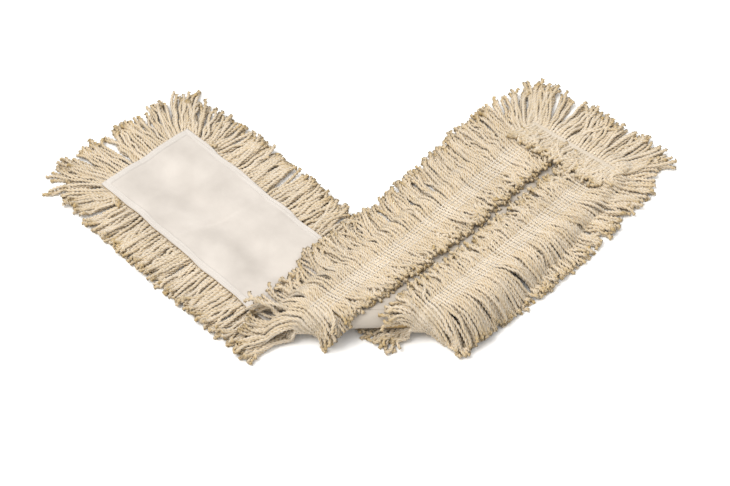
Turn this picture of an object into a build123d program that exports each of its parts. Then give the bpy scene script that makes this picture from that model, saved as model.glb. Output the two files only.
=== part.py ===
"""Cut-end cotton dust mop head, folded once across its middle into a V.

The head is a long cloth strip with yarn sewn under it. The left arm of the V lies
cloth side up on the floor, the strip then rolls over a round fold and the right arm
comes back over it yarn side up. X runs along the fold, +Y away from the fold towards
the two ends, +Z up, floor at z = 0, millimetres.
"""
from build123d import *
from math import cos, exp, pi, radians, sin
import os

os.makedirs("parts", exist_ok=True)

# ---- driving dimensions -------------------------------------------------------
ARM_ANGLE = 48.5        # each arm against the fold line, in plan
LEFT_LENGTH = 425.0     # from the fold centre to the left end of the cloth
RIGHT_LENGTH = 500.0    # along the strip from the fold centre to the right end
HALF_WIDTH = 79.0       # the cloth strip is 158 wide
CLOTH_Z = 14.3          # plane between the two cloths on the left arm
FOLD_R = 14.0           # radius of the round fold, between the two cloths
CLOTH_T = 1.1           # one canvas
HEM_T = 0.8             # turned hem lying on the pocket cloth
HEM_WIDTH = 10.0
SEAM_ROWS = (3.6, 7.4)  # the hem's stitch rows, from the edge
THREAD_T = 0.5
THREAD_W = 1.2
CORE_IN = 45.0          # sewn part of a yarn band, distance from the centre line
CORE_OUT = 70.0
CORE_T = 6.0
INNER_TIP = 8.0         # cut ends of the short fringe
TIP_LEFT = 148.0        # cut ends of the long fringe, left arm and inside of the V
TIP_RIGHT = 136.0       # the same on the outside of the right arm, where it droops
END_CORE = 14.0         # sewn width of the end strip
END_FRINGE = 74.0
END_INNER = 44.0
LOW_Z = 3.0             # right arm cloth height far from the fold
DROP_LENGTH = 130.0     # how fast the right arm comes down to the floor
BODY_GAP = 0.3
LAYER_GAP = 0.2         # between curved layers of the right arm
SEW_ROWS = (48.0, 54.5, 61.0, 67.0)
SHIFT_X = -20.192
SHIFT_Y = -203.345

# ---- helpers --------------------------------------------------------------------
S = sin(radians(ARM_ANGLE))
C = cos(radians(ARM_ANGLE))
ARC = pi * FOLD_R
AXIS_Z = CLOTH_Z + FOLD_R
TOP_Z = CLOTH_Z + 2 * FOLD_R


def left_xy(a, v):
    """Plan point on the left arm: a along the arm from the fold, v across."""
    return (-C * a + S * v + SHIFT_X, S * a + C * v + SHIFT_Y)


def right_xy(a, v):
    """Plan point on the right arm: a along the strip past the fold, v across."""
    return (C * a + S * v + SHIFT_X, S * a - C * v - ARC + SHIFT_Y)


def right_height(y):
    """Height of the plane between the two cloths on the right arm."""
    if y < 0:
        return TOP_Z - 0.0008 * y * y
    return LOW_Z + (TOP_Z - LOW_Z) * exp(-((y / DROP_LENGTH) ** 1.3))


def ramp(x, points):
    """Straight-line interpolation through (x, value) points."""
    if x <= points[0][0]:
        return points[0][1]
    for (x0, f0), (x1, f1) in zip(points, points[1:]):
        if x <= x1:
            return f0 + (f1 - f0) * (x - x0) / (x1 - x0)
    return points[-1][1]


def clearance(a, v):
    """Lowest height the right arm may use above the left arm and the floor."""
    x, y = right_xy(a, v)
    across = S * (x - SHIFT_X) + C * (y - SHIFT_Y)
    return ramp(across, [(84, 18.4), (96, 16.0), (154, 10.0), (190, 9.0), (235, 0.6)])


def finish(part, name):
    part.part.label = name
    export_step(part.part, "parts/" + name + ".step")
    box = part.part.bounding_box()
    sizes = (box.size.X, box.size.Y, box.size.Z, part.part.volume)
    print(name, "%.1f %.1f %.1f  vol %.0f" % sizes)


def beyond_fold(gap=0.0):
    """Plan rectangle behind the fold line."""
    y0 = SHIFT_Y + gap
    return [(-700, y0), (700, y0), (700, 900), (-700, 900)]


def left_bar(name, section, a0, a1, outline):
    """Straight bar on the left arm, cut to a plan outline."""
    x, y = left_xy(a1, 0)
    plane = Plane(origin=(x, y, 0), x_dir=(S, C, 0), z_dir=(C, -S, 0))
    with BuildPart() as bar:
        with BuildSketch(plane):
            Polygon(*section, align=None)
        extrude(amount=a1 - a0)
        with BuildSketch(Plane.XY.offset(-10)):
            Polygon(*outline, align=None)
        extrude(amount=120, mode=Mode.INTERSECT)
    finish(bar, name)


def right_bar(name, section, stations, outline):
    """Bar on the right arm that follows its height, cut to a plan outline."""
    with BuildPart() as bar:
        for a in stations:
            x, y = right_xy(a, 0)
            plane = Plane(origin=(x, y, 0), x_dir=(S, -C, 0), z_dir=(-C, -S, 0))
            with BuildSketch(plane):
                Polygon(*section(a), align=None)
        loft(ruled=True)
        with BuildSketch(Plane.XY.offset(-10)):
            Polygon(*outline, align=None)
        extrude(amount=120, mode=Mode.INTERSECT)
    finish(bar, name)


def right_rows(name, strips, outline):
    """Several narrow strips of one kind on the right arm, kept as one piece."""
    with BuildPart() as rows:
        for section, stations in strips:
            with BuildPart(mode=Mode.PRIVATE) as strip:
                for a in stations:
                    x, y = right_xy(a, 0)
                    plane = Plane(origin=(x, y, 0), x_dir=(S, -C, 0), z_dir=(-C, -S, 0))
                    with BuildSketch(plane):
                        Polygon(*section(a), align=None)
                loft(ruled=True)
            add(strip.part)
        with BuildSketch(Plane.XY.offset(-10)):
            Polygon(*outline, align=None)
        extrude(amount=120, mode=Mode.INTERSECT)
    finish(rows, name)


def bend_bar(name, section, first=0.0, last=180.0, steps=8):
    """Piece carried round the fold: section(angle) gives (x, radius) corners."""
    with BuildPart() as bar:
        for i in range(steps + 1):
            deg = first + (last - first) * i / steps
            t = radians(deg)
            plane = Plane(origin=(SHIFT_X, SHIFT_Y, AXIS_Z), x_dir=(1, 0, 0),
                          z_dir=(0, cos(t), -sin(t)))
            travel = FOLD_R * t * C / S
            with BuildSketch(plane):
                Polygon(*[(x + travel, r) for x, r in section(deg)], align=None)
        loft(ruled=True)
    finish(bar, name)


def plate(v0, v1, z0, z1):
    return [(v0, z0), (v1, z0), (v1, z1), (v0, z1)]


def skin(vs, low, high):
    """Section between two offsets from the right arm's cloth plane."""
    def section(a):
        rows = []
        for offset in (low, high):
            row = []
            for v in vs:
                y = right_xy(a, v)[1] - SHIFT_Y
                row.append((v, right_height(y) + offset))
            rows.append(row)
        return rows[0] + rows[1][::-1]
    return section


def span(a0, a1, step=26.0):
    n = max(2, round((a1 - a0) / step))
    return [a0 + (a1 - a0) * i / n for i in range(n + 1)]


def left_outline(a0, a1, v0, v1):
    return [left_xy(a0, v0), left_xy(a1, v0), left_xy(a1, v1), left_xy(a0, v1)]


def right_outline(a0, a1, v0, v1):
    return [right_xy(a0, v0), right_xy(a1, v0), right_xy(a1, v1), right_xy(a0, v1)]


BACKING_LOW = CLOTH_Z - CLOTH_T
POCKET_TOP = CLOTH_Z + CLOTH_T
CORE_LOW = BACKING_LOW - CORE_T
UNDER = CORE_LOW - 0.8
BAND_END_LEFT = LEFT_LENGTH - END_CORE - 4
BAND_END_RIGHT = RIGHT_LENGTH - END_CORE - 4
ACROSS = [-79, -57, -28, 0, 28, 57, 79]

# ---- left arm, cloth side up ------------------------------------------------------
REACH = -150.0
left_bar("backing_canvas_left", plate(-HALF_WIDTH, HALF_WIDTH, BACKING_LOW, CLOTH_Z),
         REACH, LEFT_LENGTH, beyond_fold())
left_bar("pocket_cloth_left", plate(-HALF_WIDTH, HALF_WIDTH, CLOTH_Z, POCKET_TOP),
         REACH, LEFT_LENGTH, beyond_fold())

HEM_TOP = POCKET_TOP + HEM_T
HEM_INSIDE = HALF_WIDTH - HEM_WIDTH
left_bar("pocket_hem_end_left", plate(-HEM_INSIDE, HEM_INSIDE, POCKET_TOP, HEM_TOP),
         LEFT_LENGTH - HEM_WIDTH, LEFT_LENGTH, beyond_fold())
left_bar("pocket_hem_side_one_left",
         plate(-HALF_WIDTH, -HEM_INSIDE, POCKET_TOP, HEM_TOP),
         REACH, LEFT_LENGTH, beyond_fold())
left_bar("pocket_hem_side_two_left",
         plate(HEM_INSIDE, HALF_WIDTH, POCKET_TOP, HEM_TOP),
         REACH, LEFT_LENGTH, beyond_fold())


def left_seam(name, inset):
    """One row of lockstitch thread round the hem: two long sides and the end."""
    outer = HALF_WIDTH - inset
    inner = outer - THREAD_W
    end = LEFT_LENGTH - inset
    ring = [left_xy(REACH, -outer), left_xy(end, -outer), left_xy(end, outer),
            left_xy(REACH, outer), left_xy(REACH, inner), left_xy(end - THREAD_W, inner),
            left_xy(end - THREAD_W, -inner), left_xy(REACH, -inner)]
    with BuildPart() as seam:
        with BuildSketch(Plane.XY.offset(HEM_TOP)):
            Polygon(*ring, align=None)
            Polygon(*beyond_fold(), align=None, mode=Mode.INTERSECT)
        extrude(amount=THREAD_T)
    finish(seam, name)


left_seam("seam_thread_outer_left", SEAM_ROWS[0])
left_seam("seam_thread_inner_left", SEAM_ROWS[1])

for label, side in (("one", -1), ("two", 1)):
    core = [(side * v, z) for v, z in plate(CORE_IN, CORE_OUT, CORE_LOW, BACKING_LOW)]
    left_bar("band_" + label + "_core_left", core, REACH, BAND_END_LEFT, beyond_fold())

    inner = [(57.5, 0), (57.5, UNDER), (CORE_IN, UNDER), (CORE_IN, BACKING_LOW),
             (30, BACKING_LOW), (INNER_TIP, 8.0), (INNER_TIP, 0)]
    inner = [(side * v, z) for v, z in inner]
    left_bar("band_" + label + "_inner_fringe_left", inner, REACH,
             LEFT_LENGTH - END_CORE - END_INNER - 2, beyond_fold())

    outer = [(57.5, 0), (TIP_LEFT, 0), (TIP_LEFT, 6), (110, 11.0), (80, BACKING_LOW),
             (CORE_OUT, BACKING_LOW), (CORE_OUT, UNDER), (57.5, UNDER)]
    outer = [(side * v, z) for v, z in outer]
    first = 62.0 if side < 0 else REACH
    corner = [left_xy(first, side * 57.5), left_xy(first, side * TIP_LEFT),
              left_xy(LEFT_LENGTH + 42, side * TIP_LEFT),
              left_xy(LEFT_LENGTH - 3, side * 82), left_xy(LEFT_LENGTH - 3, side * 57.5)]
    if side > 0:
        x0, y0 = SHIFT_X, SHIFT_Y
        corner = [(x0 + 57.5 / S, y0), (x0 + TIP_LEFT / S, y0)] + corner[2:]
    left_bar("band_" + label + "_outer_fringe_left", outer, REACH, LEFT_LENGTH + 60,
             corner)

def left_sewing(name, side):
    """Rows of lockstitch thread across the sewn yarn, under the left arm."""
    x, y = left_xy(BAND_END_LEFT - 3, 0)
    plane = Plane(origin=(x, y, 0), x_dir=(S, C, 0), z_dir=(C, -S, 0))
    with BuildPart() as rows:
        with BuildSketch(plane):
            for v in SEW_ROWS:
                edge = side * v
                strip = plate(edge - 0.6, edge + 0.6, CORE_LOW - 0.6, CORE_LOW)
                Polygon(*strip, align=None)
        extrude(amount=BAND_END_LEFT - 3 - REACH)
        with BuildSketch(Plane.XY.offset(-10)):
            Polygon(*beyond_fold(), align=None)
        extrude(amount=120, mode=Mode.INTERSECT)
    finish(rows, name)


left_sewing("band_one_sewing_rows_left", -1)
left_sewing("band_two_sewing_rows_left", 1)

left_bar("end_strip_core_left", plate(-69.5, 69.5, CORE_LOW, BACKING_LOW),
         LEFT_LENGTH - 2 - END_CORE, LEFT_LENGTH - 2, beyond_fold())
left_bar("end_strip_inner_fringe_left", plate(-56, 56, 0.0, UNDER),
         LEFT_LENGTH - 2 - END_CORE - END_INNER, LEFT_LENGTH - 4,
         left_outline(LEFT_LENGTH - 2 - END_CORE - END_INNER, LEFT_LENGTH - 4, -56, 56))


def left_end_fringe():
    """Long fringe past the left end, fanned out at both corners."""
    a0 = LEFT_LENGTH - 2
    stations = [(a0, 81.0, BACKING_LOW), (a0 + 22, 106.0, 11.5), (a0 + 45, 134.0, 9.0),
                (a0 + END_FRINGE, 112.0, 6.0)]
    with BuildPart() as fringe:
        for a, half, top in stations:
            x, y = left_xy(a, 0)
            plane = Plane(origin=(x, y, 0), x_dir=(S, C, 0), z_dir=(C, -S, 0))
            with BuildSketch(plane):
                Polygon(*plate(-half, half, 0.0, top), align=None)
        loft(ruled=True)
    finish(fringe, "end_strip_outer_fringe_left")


left_end_fringe()

# ---- right arm, yarn side up --------------------------------------------------------
BEHIND = beyond_fold(BODY_GAP)
HEM_HIGH = -CLOTH_T - 2.0 * LAYER_GAP
HEM_LOW = HEM_HIGH - HEM_T
ALONG = span(0.0, RIGHT_LENGTH)
right_bar("pocket_cloth_right", skin(ACROSS, -CLOTH_T, 0.0), ALONG, BEHIND)
right_bar("backing_canvas_right", skin(ACROSS, 0.0, CLOTH_T), ALONG, BEHIND)
right_bar("pocket_hem_end_right",
          skin([-68.8, -57, -28, 0, 28, 57, 68.8], HEM_LOW, HEM_HIGH),
          span(RIGHT_LENGTH - HEM_WIDTH, RIGHT_LENGTH, 4), BEHIND)
right_bar("pocket_hem_side_one_right",
          skin([-79, -69], HEM_LOW, HEM_HIGH), ALONG, BEHIND)
right_bar("pocket_hem_side_two_right",
          skin([69, 79], HEM_LOW, HEM_HIGH), ALONG, BEHIND)


def right_seam(name, inset):
    """One row of lockstitch thread round the hem, under the right arm."""
    outer = HALF_WIDTH - inset
    inner = outer - THREAD_W
    low = HEM_LOW - LAYER_GAP - THREAD_T
    end = RIGHT_LENGTH - inset
    along = span(0.0, end)
    across = [-inner, -57, -28, 0, 28, 57, inner]
    right_rows(name, [
        (skin([-outer, -inner], low, low + THREAD_T), along),
        (skin([inner, outer], low, low + THREAD_T), along),
        (skin(across, low, low + THREAD_T), span(end - THREAD_W, end, 1)),
    ], BEHIND)


right_seam("seam_thread_outer_right", SEAM_ROWS[0])
right_seam("seam_thread_inner_right", SEAM_ROWS[1])

TOP = CLOTH_T + LAYER_GAP
for label, side in (("one", -1), ("two", 1)):
    vs = sorted([side * CORE_IN, side * 57.5, side * CORE_OUT])
    right_bar("band_" + label + "_core_right", skin(vs, TOP, TOP + CORE_T),
              span(0.0, BAND_END_RIGHT), BEHIND)

    rows = [(skin([side * v - 0.6, side * v + 0.6], TOP + CORE_T + LAYER_GAP,
                  TOP + CORE_T + LAYER_GAP + 0.6), span(0.0, BAND_END_RIGHT - 44))
            for v in SEW_ROWS]
    right_rows("band_" + label + "_sewing_rows_right", rows, BEHIND)

    def inner_section(a, side=side):
        lower = []
        upper = []
        for v, rise in ((CORE_IN, 7.0), (28.0, 8.5), (INNER_TIP, 4.5)):
            y = right_xy(a, side * v)[1] - SHIFT_Y
            lower.append((side * v, right_height(y) + TOP))
            upper.append((side * v, right_height(y) + TOP + rise))
        return lower + upper[::-1]

    right_bar("band_" + label + "_inner_fringe_right", inner_section,
              span(0.0, RIGHT_LENGTH - END_CORE - END_INNER - 2), BEHIND)

    tip = TIP_LEFT if side < 0 else TIP_RIGHT

    def outer_section(a, side=side, tip=tip):
        def cloth(v):
            return right_height(right_xy(a, side * v)[1] - SHIFT_Y)

        lower = [(CORE_OUT, cloth(CORE_OUT) + TOP), (79.6, cloth(79.6) + TOP)]
        upper = [(CORE_OUT, cloth(CORE_OUT) + TOP + CORE_T)]
        high = cloth(81.0) + TOP + 5.0
        low = clearance(a, side * tip) + 6.0
        for v in (81.0, 98.0, 116.0, tip):
            floor_z = clearance(a, side * v) + 0.0006 * (v - 108.0) ** 2
            if v < 90.0:
                floor_z = min(floor_z, cloth(v) + TOP)
            lower.append((v, floor_z))
            f = (v - 81.0) / (tip - 81.0)
            upper.append((v, max(high + (low - high) * f ** 0.8, floor_z + 3.0)))
        return [(side * v, z) for v, z in lower + upper[::-1]]

    first = 0.0
    corner = [right_xy(first, side * 60), right_xy(first, side * 160),
              right_xy(RIGHT_LENGTH + 36, side * 160),
              right_xy(RIGHT_LENGTH + 36, side * tip),
              right_xy(RIGHT_LENGTH - 3, side * 82), right_xy(RIGHT_LENGTH - 3, side * 60)]
    if side > 0:
        corner = [(SHIFT_X + 100, SHIFT_Y + BODY_GAP), (SHIFT_X + 300, SHIFT_Y + BODY_GAP)]
        corner += [right_xy(RIGHT_LENGTH + 36, 160), right_xy(RIGHT_LENGTH + 36, tip),
                   right_xy(RIGHT_LENGTH - 3, 82), right_xy(RIGHT_LENGTH - 3, 60),
                   right_xy(150, 60)]
    if side < 0:
        corner[0] = right_xy(8, -60)
        corner[1] = right_xy(8, -160)
    right_bar("band_" + label + "_outer_fringe_right", outer_section,
              span(0.0, RIGHT_LENGTH + 50), corner)

END_STATIONS = span(RIGHT_LENGTH - END_CORE, RIGHT_LENGTH, 7)
WIDE = [-69.5, -46, -23, 0, 23, 46, 69.5]
right_bar("end_strip_core_right", skin(WIDE, TOP, TOP + CORE_T), END_STATIONS, BEHIND)
TAPE = TOP + CORE_T + LAYER_GAP
right_bar("end_strip_tape_right", skin(WIDE, TAPE, TAPE + 0.8),
          span(RIGHT_LENGTH - 11, RIGHT_LENGTH - 5, 3), BEHIND)
right_bar("end_strip_inner_fringe_right",
          skin([-69, -45, -20, 0, 20, 45, 69], TAPE + 0.2, TAPE + 5.5),
          span(RIGHT_LENGTH - 2 - END_CORE - END_INNER, RIGHT_LENGTH - 2 - END_CORE, 15),
          BEHIND)


def right_end_fringe():
    """Long fringe past the right end, fanned out at both corners."""
    a0 = RIGHT_LENGTH + 0.2
    stations = [(a0, 81.0, TOP + CORE_T), (a0 + 20, 104.0, 4.5), (a0 + 40, 122.0, 3.0),
                (a0 + END_FRINGE + 8, 100.0, 2.0)]
    with BuildPart() as fringe:
        for a, half, rise in stations:
            x, y = right_xy(a, 0)
            plane = Plane(origin=(x, y, 0), x_dir=(S, -C, 0), z_dir=(-C, -S, 0))
            with BuildSketch(plane):
                Polygon(*plate(-half, half, 0.6, LOW_Z + 1.2 + rise), align=None)
        loft(ruled=True)
    finish(fringe, "end_strip_outer_fringe_right")


right_end_fringe()

# ---- round fold ----------------------------------------------------------------------
EDGE_X = HALF_WIDTH / S
R_BACK = FOLD_R + CLOTH_T
R_CORE = R_BACK + CORE_T


def ring(x0, x1, r0, r1):
    return lambda deg: [(x0, r0), (x1, r0), (x1, r1), (x0, r1)]


bend_bar("pocket_cloth_fold", ring(-EDGE_X, EDGE_X, FOLD_R - CLOTH_T, FOLD_R))
HEM_RING = (FOLD_R - CLOTH_T - HEM_T, FOLD_R - CLOTH_T)
bend_bar("pocket_hem_side_one_fold", ring(-EDGE_X, -HEM_INSIDE / S, *HEM_RING))
bend_bar("pocket_hem_side_two_fold", ring(HEM_INSIDE / S, EDGE_X, *HEM_RING))
bend_bar("backing_canvas_fold", ring(-EDGE_X, EDGE_X, FOLD_R, R_BACK))
bend_bar("band_one_core_fold", ring(-CORE_OUT / S, -CORE_IN / S, R_BACK, R_CORE))
bend_bar("band_two_core_fold", ring(CORE_IN / S, CORE_OUT / S, R_BACK, R_CORE))


def swell(deg, at, width):
    return exp(-(((deg - at) / width) ** 2))


def one_inner(deg):
    tip = R_BACK + 4.0 + 7.0 * swell(deg, 55, 35)
    x0 = -CORE_IN / S
    return [(x0, R_BACK), (x0 + 37, R_BACK), (x0 + 37, tip), (x0, R_CORE)]


def two_inner(deg):
    tip = R_BACK + 4.0 + 5.0 * swell(deg, 45, 35)
    x0 = CORE_IN / S
    return [(x0 - 37, R_BACK), (x0, R_BACK), (x0, R_CORE), (x0 - 37, tip)]


def one_outer(deg):
    x0 = -CORE_OUT / S
    x1 = -EDGE_X
    return [(x0, R_BACK), (x0, R_CORE), (x0 - 75, 14.0), (x0 - 75, 7.0), (x1, R_BACK)]


def two_outer(deg):
    x0 = CORE_OUT / S
    x1 = EDGE_X
    reach = AXIS_Z / max(cos(radians(deg)), 0.1) - 0.5 if deg < 90 else 99.0
    tip = min(reach, 20.0 + 32.0 * swell(deg, 65, 28))
    out = 50.0 + 14.0 * sin(radians(deg))
    return [(x0, R_BACK), (x1, R_BACK), (x0 + out, max(tip - 14.0, 8.0)),
            (x0 + out, tip), (x0, R_CORE)]


bend_bar("band_one_inner_fringe_fold", one_inner)
bend_bar("band_two_inner_fringe_fold", two_inner)
bend_bar("band_one_outer_fringe_fold", one_outer, first=45.0, steps=6)
bend_bar("band_two_outer_fringe_fold", two_outer)
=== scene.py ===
"""Looks of the cut-end cotton dust mop head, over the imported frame.

Lengths are in millimetres until a mesh is made. The head is described as a flat strip:
a runs along it (left arm positive), v across it (yarn band one is negative) and w off
the plane between its two cloths (the yarn side is negative). strip() lays it out in the V.
"""

import math

import bmesh
import bpy
import numpy as np
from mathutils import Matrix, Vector


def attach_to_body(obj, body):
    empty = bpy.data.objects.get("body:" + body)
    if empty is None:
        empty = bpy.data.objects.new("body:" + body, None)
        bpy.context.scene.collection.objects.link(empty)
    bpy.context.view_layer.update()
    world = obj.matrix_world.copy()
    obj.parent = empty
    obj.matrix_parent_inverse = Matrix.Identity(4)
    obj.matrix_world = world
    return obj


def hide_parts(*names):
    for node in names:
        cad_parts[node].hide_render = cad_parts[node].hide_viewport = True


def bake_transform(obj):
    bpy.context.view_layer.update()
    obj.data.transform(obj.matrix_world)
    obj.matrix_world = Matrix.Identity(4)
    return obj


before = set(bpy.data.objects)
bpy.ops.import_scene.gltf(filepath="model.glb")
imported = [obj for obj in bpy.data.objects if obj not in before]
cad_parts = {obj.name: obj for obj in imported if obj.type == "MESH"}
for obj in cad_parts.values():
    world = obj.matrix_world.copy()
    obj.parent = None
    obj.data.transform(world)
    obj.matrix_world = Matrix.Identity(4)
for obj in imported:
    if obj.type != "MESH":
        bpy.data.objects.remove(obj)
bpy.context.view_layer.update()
random = np.random.default_rng(20316)

# ---- the strip ---------------------------------------------------------------------
ANGLE = math.radians(48.5)  # between either arm and the fold, which runs along x
S, C = math.sin(ANGLE), math.cos(ANGLE)
SHIFT = np.array([-20.192, -203.345, 0.0])  # start of the fold on the strip's middle line
CLOTH_Z = 14.3  # plane between the left arm's two cloths
R = 14.0  # radius of the bend at that plane
ARC = math.pi * R
AXIS_Z = CLOTH_Z + R
CLOTH_T = 1.1
CLOTH_GAP = 0.02  # from the middle plane to either cloth
HALF = 79.0  # half the width of the cloth
LEFT, RIGHT = 425.0, -500.0  # the strip's two ends, along a
HEM_T = 0.65
HEM_WIDTH = 10.0
HEM_ROWS = (3.6, 7.4)  # the hem's rows of stitches, from the edge of the cloth
CORE_IN, CORE_OUT = 45.0, 70.0  # the sewn part of a yarn band, across the strip
CORE_MID = (CORE_IN + CORE_OUT) / 2
SEW_ROWS = (48.0, 54.5, 61.0, 67.0)  # the rows of stitches across it
YARN_R = 2.3


def smooth(t):
    t = np.clip(t, 0.0, 1.0)
    return t * t * (3 - 2 * t)


def fall(y):
    """Height of the right arm's cloth plane behind the fold."""
    return 3.0 + 39.3 * np.exp(-np.power(np.maximum(y, 0.0) / 130.0, 1.3))


def dip(a, v):
    """How the left arm's cloth sags between the yarn bands."""
    y = S * a + C * v
    flat_end = 1 - 0.55 * smooth((a - 372) / 45)
    valley = -7.4 * np.exp(-((v + 4) / 23.0) ** 2) * flat_end
    edge = (-1.6 + 0.8 * np.sin(a / 13.0 + v)) * smooth((np.abs(v) - 62) / 17)
    ripple = 0.7 * np.sin(a / 31 + 0.8) * np.sin(v / 26 + 1.2)
    ripple = ripple + 0.45 * np.sin(a / 12 + v / 19) * np.sin(v / 11 - a / 47)
    across = a - (262 - 0.22 * v)
    crease = -3.0 * np.exp(-(across / 7.0) ** 2) * np.exp(-(v / 62) ** 2)
    crease = crease + 1.0 * np.exp(-((across + 17) / 13.0) ** 2)
    return (valley + edge + ripple + crease) * smooth(y / 46)


def strip(a, v, w):
    """World position in millimetres, before the frame's shift."""
    a, v, w = np.broadcast_arrays(
        np.asarray(a, float), np.asarray(v, float), np.asarray(w, float)
    )
    t = -(S * a + C * v)
    wavy = 0.8 * np.sin(a / 15.0) + 0.5 * np.sin(a / 8.3 + 1.0)
    v = v + np.sign(v) * wavy * smooth((np.abs(v) - 48) / 31) * smooth(-t / 46)
    x = -C * a + S * v
    turn = np.clip(t / R, 0, math.pi)
    y = np.where(t < 0, S * a + C * v, -(R - w) * np.sin(turn))
    z = np.where(t < 0, CLOTH_Z + w + dip(a, v), AXIS_Z - (R - w) * np.cos(turn))
    back = t - ARC
    slope = fall(back + 0.5) - fall(back - 0.5)
    k = 1 / np.sqrt(1 + slope**2)
    y = np.where(back > 0, back + w * slope * k, y)
    z = np.where(back > 0, fall(back) - w * k, z)
    return np.stack([x, y, z], -1)


def at_fold(v, turn=0.0):
    """Where along the strip the line v reaches that turn of the fold, in radians."""
    return (-R * turn - C * np.asarray(v, float)) / S


# ---- materials -----------------------------------------------------------------------
def new_material(name, roughness):
    m = bpy.data.materials.new(name)
    m.use_nodes = True
    tree = m.node_tree
    shader = tree.nodes["Principled BSDF"]
    shader.inputs["Roughness"].default_value = roughness
    return m, tree, shader


def add(tree, kind, **inputs):
    node = tree.nodes.new(kind)
    for key, value in inputs.items():
        node.inputs[key.replace("_", " ")].default_value = value
    return node


def mix_colour(tree, factor, a, b, mode="MIX"):
    node = tree.nodes.new("ShaderNodeMix")
    node.data_type = "RGBA"
    node.blend_type = mode
    for source, index in ((factor, 0), (a, 6), (b, 7)):
        if isinstance(source, (float, int, tuple)):
            node.inputs[index].default_value = source
        else:
            tree.links.new(source, node.inputs[index])
    return node.outputs[2]


def maths(tree, operation, a, b=0.0, c=0.0):
    node = tree.nodes.new("ShaderNodeMath")
    node.operation = operation
    for source, socket in zip((a, b, c), node.inputs):
        if isinstance(source, (float, int)):
            socket.default_value = source
        else:
            tree.links.new(source, socket)
    return node.outputs[0]


def attribute(tree, name):
    node = tree.nodes.new("ShaderNodeAttribute")
    node.attribute_name = name
    return node.outputs["Fac"]


def bump(tree, shader, height, strength, distance):
    node = add(tree, "ShaderNodeBump", Strength=strength, Distance=distance)
    tree.links.new(height, node.inputs["Height"])
    tree.links.new(node.outputs[0], shader.inputs["Normal"])


def yarn_material(name, cream, tan):
    m, tree, shader = new_material(name, 0.92)
    shader.inputs["Specular IOR Level"].default_value = 0.15
    where = tree.nodes.new("ShaderNodeTexCoord")
    flecks = add(tree, "ShaderNodeTexNoise", Scale=160.0, Detail=3.0)
    patches = add(tree, "ShaderNodeTexNoise", Scale=26.0, Detail=2.0)
    fibre = add(tree, "ShaderNodeTexNoise", Scale=1500.0, Detail=2.0)
    for node in (flecks, patches, fibre):
        tree.links.new(where.outputs["Object"], node.inputs["Vector"])
    tone = attribute(tree, "tone")
    tip = attribute(tree, "tip")
    worn = maths(tree, "MULTIPLY_ADD", flecks.outputs[0], 0.9, -0.38)
    worn = maths(tree, "ADD", worn, maths(tree, "MULTIPLY_ADD", tone, 0.34, -0.1))
    part = maths(tree, "ADD", maths(tree, "MULTIPLY", tip, 0.75), worn)
    part.node.use_clamp = True
    colour = mix_colour(tree, part, cream, tan)
    light = maths(tree, "MULTIPLY_ADD", patches.outputs[0], 0.28, 0.88)
    # painted shade: the grooves between the plies are darkened towards brown
    shade_share = maths(tree, "MULTIPLY", attribute(tree, "groove_shade"), 0.64)
    colour = mix_colour(tree, shade_share, colour, (0.40, 0.265, 0.095, 1))
    grey = tree.nodes.new("ShaderNodeCombineColor")
    for socket in grey.inputs:
        tree.links.new(light, socket)
    colour = mix_colour(tree, 1.0, colour, grey.outputs[0], "MULTIPLY")
    tree.links.new(colour, shader.inputs["Base Color"])
    bump(tree, shader, fibre.outputs[0], 0.5, 0.0006)
    return m


def cloth_material(name, warm, cool, under_yarn_shade=None):
    """Plain-weave canvas; the Cloth map holds the strip's own coordinates in metres.

    The optional last colour is painted shade on the cloth under the yarn bands, away from the
    strip's middle line.
    """
    m, tree, shader = new_material(name, 0.9)
    shader.inputs["Specular IOR Level"].default_value = 0.12
    uv = tree.nodes.new("ShaderNodeUVMap")
    uv.uv_map = "Cloth"
    weave = []
    for direction in ("X", "Y"):
        wave = add(tree, "ShaderNodeTexWave", Scale=260.0, Distortion=0.7, Detail=1.0)
        wave.bands_direction = direction
        tree.links.new(uv.outputs[0], wave.inputs["Vector"])
        weave.append(wave.outputs["Fac"])
    woven = maths(tree, "MAXIMUM", weave[0], weave[1])
    slub = add(tree, "ShaderNodeTexNoise", Scale=420.0, Detail=4.0)
    cloud = add(tree, "ShaderNodeTexNoise", Scale=17.0, Detail=4.0)
    for node in (slub, cloud):
        tree.links.new(uv.outputs[0], node.inputs["Vector"])
    height = maths(tree, "MULTIPLY_ADD", slub.outputs[0], 0.8, 0.0)
    height = maths(tree, "ADD", height, woven)
    colour = mix_colour(tree, cloud.outputs[0], warm, cool)
    # painted shade where the cloth lies under the yarn bands
    if under_yarn_shade:
        axes = tree.nodes.new("ShaderNodeSeparateXYZ")
        tree.links.new(uv.outputs[0], axes.inputs[0])
        away = maths(tree, "ABSOLUTE", axes.outputs[1])
        shade_share = maths(tree, "MULTIPLY_ADD", away, 120.0, -2.1)
        shade_share.node.use_clamp = True
        colour = mix_colour(tree, shade_share, colour, under_yarn_shade)
    shade = maths(tree, "MULTIPLY_ADD", height, 0.055, 0.93)
    grey = tree.nodes.new("ShaderNodeCombineColor")
    for socket in grey.inputs:
        tree.links.new(shade, socket)
    colour = mix_colour(tree, 1.0, colour, grey.outputs[0], "MULTIPLY")
    tree.links.new(colour, shader.inputs["Base Color"])
    bump(tree, shader, height, 0.35, 0.0004)
    return m


def thread_material(name, colour):
    m, tree, shader = new_material(name, 0.7)
    noise = add(tree, "ShaderNodeTexNoise", Scale=900.0, Detail=2.0)
    dark = tuple(c * 0.86 for c in colour[:3]) + (1.0,)
    tree.links.new(
        mix_colour(tree, noise.outputs[0], colour, dark), shader.inputs["Base Color"]
    )
    bump(tree, shader, noise.outputs[0], 0.4, 0.0002)
    return m


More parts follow.
